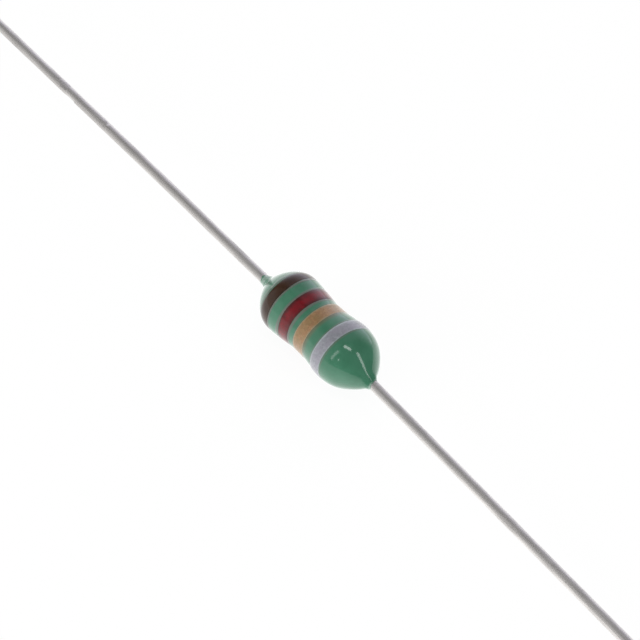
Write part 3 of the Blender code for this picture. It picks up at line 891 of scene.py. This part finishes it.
def ring_points(x, radius, angles, way=COAT_ASIDE):
    """Rings round the part's axis, drawn aside at the near end, as rows by columns by 3."""
    centre = aside(x, *way) + np.array([0.0, 0.0, AXIS_HEIGHT])
    y = centre[..., 1] + radius * np.cos(angles)
    z = centre[..., 2] + radius * np.sin(angles)
    return np.stack(np.broadcast_arrays(x, y, z), axis=-1)


print("drift at one point:", round(float(drift(0.0, 0.0, 3)), 3))

# %% The rings of paint: where they lie
RING_SEEDS = {"band_brown": 1037, "band_red": 1115, "band_gold": 1206, "band_silver": 1108}
EDGE_WAVER = 0.025  # how far a painted edge wanders inwards from its CAD place


def band_edges(node, angles):
    """The two edges of a ring at each angle: they lean by a cosine of the angle, which the CAD box
    holds as well, and two seeded waves draw them in a little."""
    low, high = node_box(node)
    lean = BAND_LEAN * np.cos(angles - BAND_LEAN_ANGLE)
    seed = RING_SEEDS[node]
    first = EDGE_WAVER * (0.5 + 0.5 * drift(0.0, angles, seed, turns=(1, 2, 5)))
    second = EDGE_WAVER * (0.5 + 0.5 * drift(0.0, angles, seed + 1, turns=(1, 3, 4)))
    return low[0] + BAND_LEAN + lean + first, high[0] - BAND_LEAN + lean - second


for node in RING_SEEDS:
    start, end = band_edges(node, coat_angles)
    print(f"{node}: {start.mean():.2f} to {end.mean():.2f} mm")

# %% The coat's shell
COAT_ROWS = 500
OVER_FLATS = 0.012  # the coat's outside over the CAD curve, whose flats lie inside it
LIPS = 0.20, 0.24  # over this much of its length the far and the near film thins out to its edge
LIP_ROWS = np.array([0.0, 0.006, 0.014, 0.03, 0.055, 0.09])  # extra rows make each lip smooth
FILM = 0.005  # how far the film's edge stands off the lead
FAR_CREEP = 0.09  # how far the far film creeps along the lead past the CAD collar
SLANTS = (0.09, math.radians(55)), (0.070, math.radians(208))  # each film's edge is oblique
LIP_WAVER = 0.035
WAVE_HEIGHT = 0.006
WAVES = 0.2, 0.35, 0.5  # how many of its waves go in a millimetre
CALM_END = 0.5  # the waves die away over this much at each end
COLLAR_LUMPS = 0.004
COLLAR_SLIM = 0.05, 0.085  # the far and the near film are this much slimmer at the edge than in CAD
FAR_SHIFT = 0.03  # the far film is thicker on the side that its lead bends to


def near_collar(x):
    """1 at the film's edge at either end, which fades out within a millimetre as a bell curve."""
    return np.exp(-((np.minimum(x - coat_low[0], coat_high[0] - x) / COLLAR_FADE) ** 2))


def coat_outside(columns):
    """The coat's outer rows, with its uneven collars.

    Each lip thins out to the film's edge as a parabola, t * (2 - t) with t from 0 to 1. Waves and
    lumps come from seeded drifts, and each lip's edge is moved along X, more on one side.
    """
    start, end = coat_low[0] - FAR_CREEP, coat_high[0]
    x = np.concatenate([np.linspace(start, end, COAT_ROWS), start + LIP_ROWS, end - LIP_ROWS])
    x = np.unique(x)[:, None]
    rounding = np.clip(np.minimum((x - start) / LIPS[0], (end - x) / LIPS[1]), 0, 1)
    rim = LEAD_RADIUS + FILM
    coat = coat_radius(x) + OVER_FLATS - np.where(x < 0, *COLLAR_SLIM) * near_collar(x)
    radius = rim + (coat - rim) * rounding * (2 - rounding)
    calm = np.clip(np.minimum(x - start, end - x) / CALM_END, 0, 1)
    radius = radius + WAVE_HEIGHT * drift(x, columns, 11, waves=WAVES) * calm
    lumps = drift(x, columns, 12, turns=(2, 3, 4), waves=(0.5, 0.9, 1.3))
    radius = radius + COLLAR_LUMPS * near_collar(x) * rounding * lumps
    waver = LIP_WAVER * (1 + drift(0.0, columns, 13, turns=(2, 3, 5), waves=(0.4,)))
    far, near = (depth * (1 - np.cos(columns - angle)) + waver for depth, angle in SLANTS)
    moved = x + near_collar(x) * np.where(x < 0, far, -near)
    return moved, radius


print("outer rows:", len(coat_outside(coat_angles[None, :])[0]))

# %% The coat's inside, and the whole shell
ROOM_INSIDE = 0.015  # the CAD gap between pieces that touch
WINDING_RADIUS = 1.516  # the inside's own radius over the winding
FLANGE_START, WIDENING = 1.985, 0.315  # before it, the inside widens over this much
FILLET_SHARE = 0.45  # how much of the solder's length its rounded end takes
BORE_ENDS = 0.10, 0.17  # how far before the CAD collar's end the far and the near bore stop
BORE_CLOSES = 0.3  # over how much of its length the bore closes on the lead
BORE_EDGE = 0.002  # the room left at its end
arm_top = node_box("winding")[1][2] - AXIS_HEIGHT


def inside_half(reach):
    """Half of the inside as (x, radius), outwards: winding, flange, wire arm, solder, lead."""
    near, tip = -solder_high[0] - ROOM_INSIDE, -solder_low[0] + ROOM_INSIDE
    flange, bore = FLANGE_RADIUS + ROOM_INSIDE, LEAD_RADIUS + ROOM_INSIDE
    solder = (solder_high[1] - solder_low[1]) / 2 + ROOM_INSIDE
    steps = [(FLANGE_START - WIDENING, WINDING_RADIUS), (FLANGE_START, flange)]
    steps += [(CORE_END + ROOM_INSIDE, flange), (near, arm_top + ROOM_INSIDE), (near, solder)]
    turn = np.linspace(0, math.pi / 2, 6)
    fillet_x = tip - (tip - near) * FILLET_SHARE * np.cos(turn)
    steps += list(zip(fillet_x, solder - (solder - bore) * np.sin(turn)))
    steps += [(x, bore) for x in np.linspace(tip, reach - BORE_CLOSES, 8)[1:]]
    return np.array(steps + [(reach, LEAD_RADIUS + BORE_EDGE)])


def coat_points(columns):
    """The whole shell: the outside from -X to +X, then the inside back from +X to -X."""
    x, radius = coat_outside(columns[None, :])
    dome_half = inside_half(-coat_low[0] - BORE_ENDS[0]) * (-1, 1)
    cone_half = inside_half(coat_high[0] - BORE_ENDS[1])
    inner = np.vstack([cone_half[::-1], dome_half])
    inner_x = inner[:, :1] + 0 * columns[None, :]
    inner_radius = inner[:, 1:] + 0 * columns[None, :]
    outside = ring_points(x, radius, columns[None, :]) + far_bend(x, FAR_BEND + FAR_SHIFT)
    inside = ring_points(inner_x, inner_radius, columns[None, :], LEAD_ASIDE) + far_bend(inner_x)
    return np.vstack([outside, inside]), x


# For each ring, the hair line at its start and at its end, a painted highlight over a small ridge:
# how strong and how wide, in millimetres.
HAIR_LINES = {
    "band_brown": ((0.75, 0.24), (1.0, 0.13)),
    "band_red": ((1.0, 0.16), (0.9, 0.17)),
    "band_gold": ((0.3, 0.11), (0.0, 0.11)),
    "band_silver": ((0.6, 0.13), (0.6, 0.11)),
}
DUST, DUST_REACH = 0.75, 0.32  # how much gold dust, and how far out
# The far film: where it starts and over what length, where its edge is and how wide, and on which
# side, as an angle, its painted reflection is taken away. The near film: where it starts, over what
# length, and the side where its painted reflection is taken away.
FAR_FILM_ROOT, FAR_FILM_FADE = -4.66, 0.14
FAR_FILM_END, FAR_EDGE, FAR_FILM_DIM_SIDE = -5.20, 0.06, 1.9
NEAR_FILM_ROOT, NEAR_FILM_FADE, NEAR_FILM_DIM_SIDE = 5.52, 0.08, 0.7


def beside_paint(x, columns):
    """How strong the hair line is on the green, from just under the paint to just past its width. The
    line is a painted highlight of the paint's edge, and the same number raises a small ridge.

    Over the line's width it is 1.6 less twice the distance from a quarter of it, held in 0 to 1.
    """
    line = np.zeros(x.shape)
    for node, edges in HAIR_LINES.items():
        ring = band_edges(node, columns[None, :])
        for edge, (strength, width), side in zip(ring, edges, (-1, 1)):
            away = (x - edge) * side / width
            line = np.maximum(line, strength * np.clip(1.6 - 2.0 * np.abs(away - 0.25), 0, 1))
    return line


def gold_dust(x, columns):
    """How much gold lies on the green past the gold ring's end."""
    away = (x - band_edges("band_gold", columns[None, :])[1]) / DUST_REACH
    return np.where(away > -0.3, DUST * np.clip(1 - away, 0, 1), 0.0)


def thin_film_and_reflection(x, columns):
    """1 where the coat is a thin film: on the far lead, and on the near film's lower edge. Its pale
    colour is partly a painted reflection of the white sheet, so on the upper side a cosine of the
    angle takes from it."""
    far = np.clip((FAR_FILM_ROOT - x) / FAR_FILM_FADE, 0, 1)
    # The pale film is partly a painted reflection of the sheet below, so a cosine takes it off the upper
    # side.
    thick = 1.5 * np.cos(columns - FAR_FILM_DIM_SIDE)
    far = far * np.clip((x - FAR_FILM_END) / FAR_EDGE - thick, 0.15, 1)
    near = np.clip((x - NEAR_FILM_ROOT) / NEAR_FILM_FADE, 0, 1)
    near = near * np.clip(0.8 - np.cos(columns - NEAR_FILM_DIM_SIDE), 0, 1)
    return np.maximum(far, near)


shell_points, outside_x = coat_points(coat_angles)
masks = {}
for label, mask in (("beside_paint", beside_paint), ("gold_dust", gold_dust), ("thin", thin_film_and_reflection)):
    masks[label] = np.zeros(shell_points.shape[:2])
    masks[label][: len(outside_x)] = mask(outside_x, coat_angles)
surface("green_coat", shell_points, "epoxy_coating", "epoxy_coat", shell=True, attributes=masks)

# %% [markdown]
# ## The painted rings
#
# A wheel rolls each ring on while the part turns. The paint stands a hundredth of a millimetre
# proud, with a rounded shoulder, and its edge wanders a little. Each ring is a thin shell whose
# underside lies just in the coat.

# %% Rings of paint
RING_ROWS = 34
RING_HEIGHT = 0.03  # the CAD ring's outside over the CAD coat
INSIDE_CAD = 0.002  # the ring stays this far inside the CAD ring's flats
SHOULDER = 0.20
INTO_COAT = 0.001  # how deep the ring's edge lies in the coat
UNDERSIDE = 0.004  # and how far its underside lies below that


def ring_of_paint(node, colour):
    """A ring between two wandering edges. Its height rises over each shoulder as a sine."""
    columns = coat_angles[None, :]
    start, end = band_edges(node, columns)
    share = 0.5 - 0.5 * np.cos(np.linspace(0, math.pi, RING_ROWS))[:, None]
    x = start + (end - start) * share
    inward = np.minimum(x - start, end - x)
    rise = np.sin(math.pi / 2 * np.clip(inward / SHOULDER, 0, 1))
    coat_here = coat_radius(x)
    top = (coat_here + RING_HEIGHT) * FLAT - INSIDE_CAD
    foot = coat_here + OVER_FLATS - INTO_COAT
    outside = ring_points(x, foot + (top - foot) * rise, columns)
    under = ring_points(x[1:-1][::-1], foot[1:-1][::-1] - UNDERSIDE, columns)
    ring, masks = np.vstack([outside, under]), {"inward": np.vstack([inward, inward[1:-1][::-1]])}
    surface(f"{colour}_ring", ring, node, f"paint_{colour}", shell=True, attributes=masks)


for node in RING_SEEDS:
    ring_of_paint(node, node.removeprefix("band_"))

# %% [markdown]
# ## The pieces inside the coat
#
# The core, the winding, the solder and the adhesive keep their CAD shapes. They only change their
# plain CAD materials for the finishes made above.

# %% Finishes on the CAD nodes that stay
INSIDE = {
    "drum_core": "ferrite",
    "winding": "enamelled_copper",
    "solder_joint_a": "solder",
    "solder_joint_b": "solder",
    "lead_cement_a": "cement",
    "lead_cement_b": "cement",
}
for node, slot in INSIDE.items():
    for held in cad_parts[node].material_slots:
        held.material = finishes[slot]
    print(node, "->", slot)

# %% [markdown]
# ## Sizes, before and after
#
# The CAD box and the new one are written side by side, to show whether the looks changed the part's size.

# %% Write the sizes and finish
new_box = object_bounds()
sizes = {"cad": [list(corner) for corner in cad_box], "visual": [list(corner) for corner in new_box]}
for label, (low, high) in sizes.items():
    print(label, [round((b - a) / MM, 3) for a, b in zip(low, high)], "mm")
